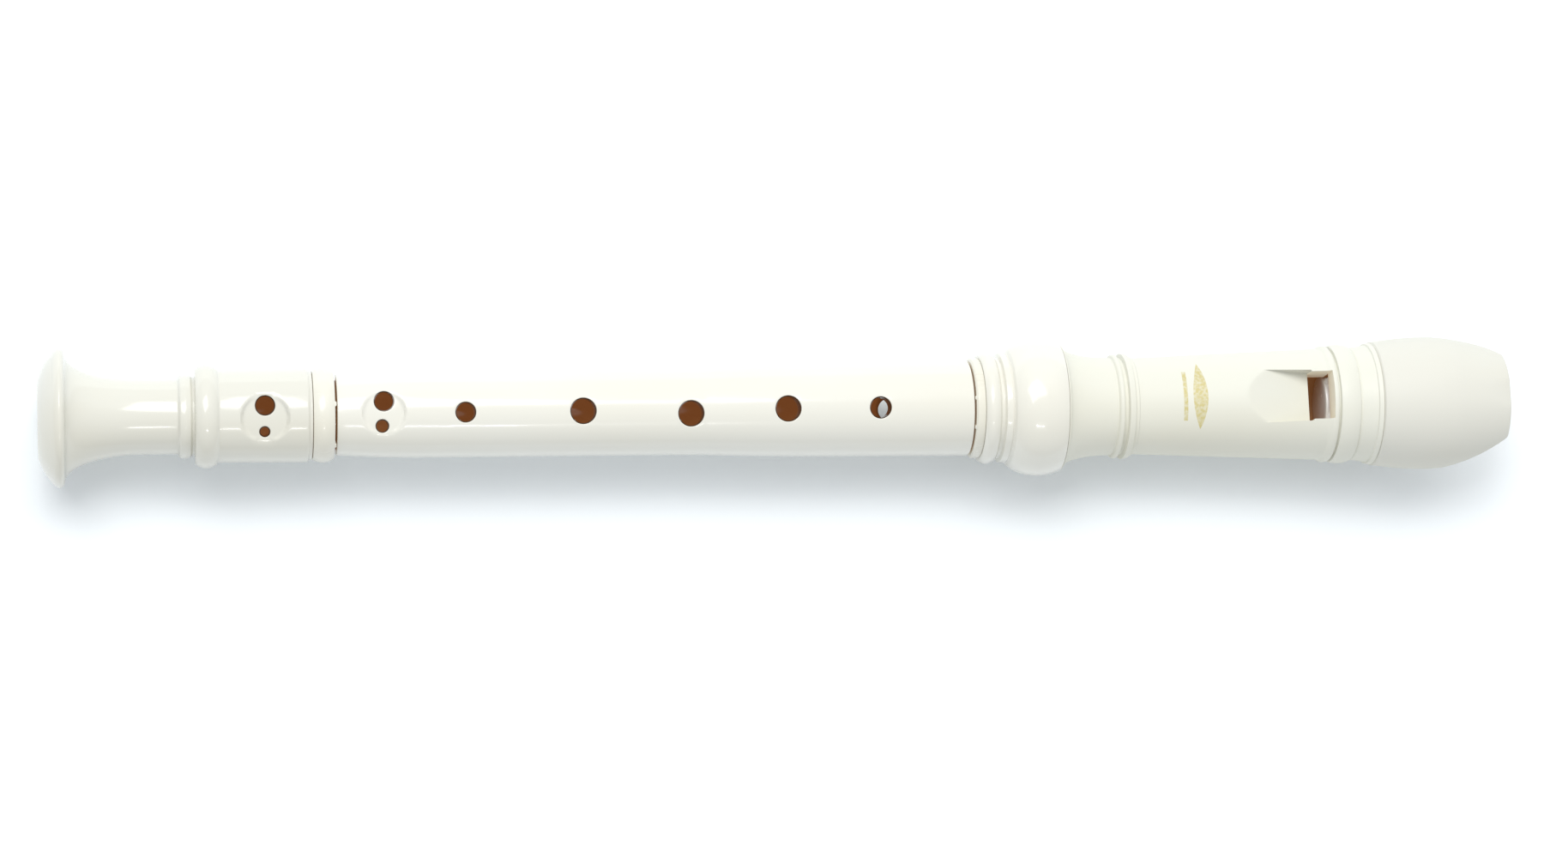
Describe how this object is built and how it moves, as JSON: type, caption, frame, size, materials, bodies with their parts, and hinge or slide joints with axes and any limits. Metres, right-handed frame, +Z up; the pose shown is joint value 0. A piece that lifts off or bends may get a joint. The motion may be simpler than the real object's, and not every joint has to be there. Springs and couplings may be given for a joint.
{
  "type": "soprano recorder",
  "caption": "Three-joint moulded plastic soprano recorder: beaked head with window and bulb, tapered body with finger holes and thumb hole, turned foot with bell.",
  "frame": {"origin": "on the surface the recorder lies on, under the middle of its length and of its width", "axes": "+X along the bore from the bell to the beak, +Z up through the finger holes, +Y to the left of a player looking along +X"},
  "size_m": [0.3292, 0.0308, 0.0308],
  "materials": {
    "gloss_ivory": "polished moulded plastic",
    "satin_ivory": "satin moulded plastic",
    "liner_ivory": "moulded plastic, less polished"
  },
  "bodies": {
    "body": {"body_tube": "gloss_ivory"},
    "head_socket": {"head_socket_sleeve": "liner_ivory"},
    "head": {"head_barrel": "gloss_ivory", "head_bulb": "gloss_ivory", "windway_block": "liner_ivory", "beak_cap": "satin_ivory"},
    "foot_socket": {"foot_socket_ring": "liner_ivory"},
    "foot": {"foot_joint": "gloss_ivory"}
  },
  "joints": [
    {"name": "head_pull", "type": "slide", "parent": "body", "child": "head_socket", "axis": [1, 0, 0], "range_m": [0, 0.03]},
    {"name": "head_twist", "type": "hinge", "parent": "head_socket", "child": "head", "pos_m": [0, 0, 0.0154], "axis": [1, 0, 0], "continuous": true},
    {"name": "foot_pull", "type": "slide", "parent": "body", "child": "foot_socket", "axis": [-1, 0, 0], "range_m": [0, 0.016]},
    {"name": "foot_twist", "type": "hinge", "parent": "foot_socket", "child": "foot", "pos_m": [0, 0, 0.0154], "axis": [1, 0, 0], "continuous": true}
  ]
}
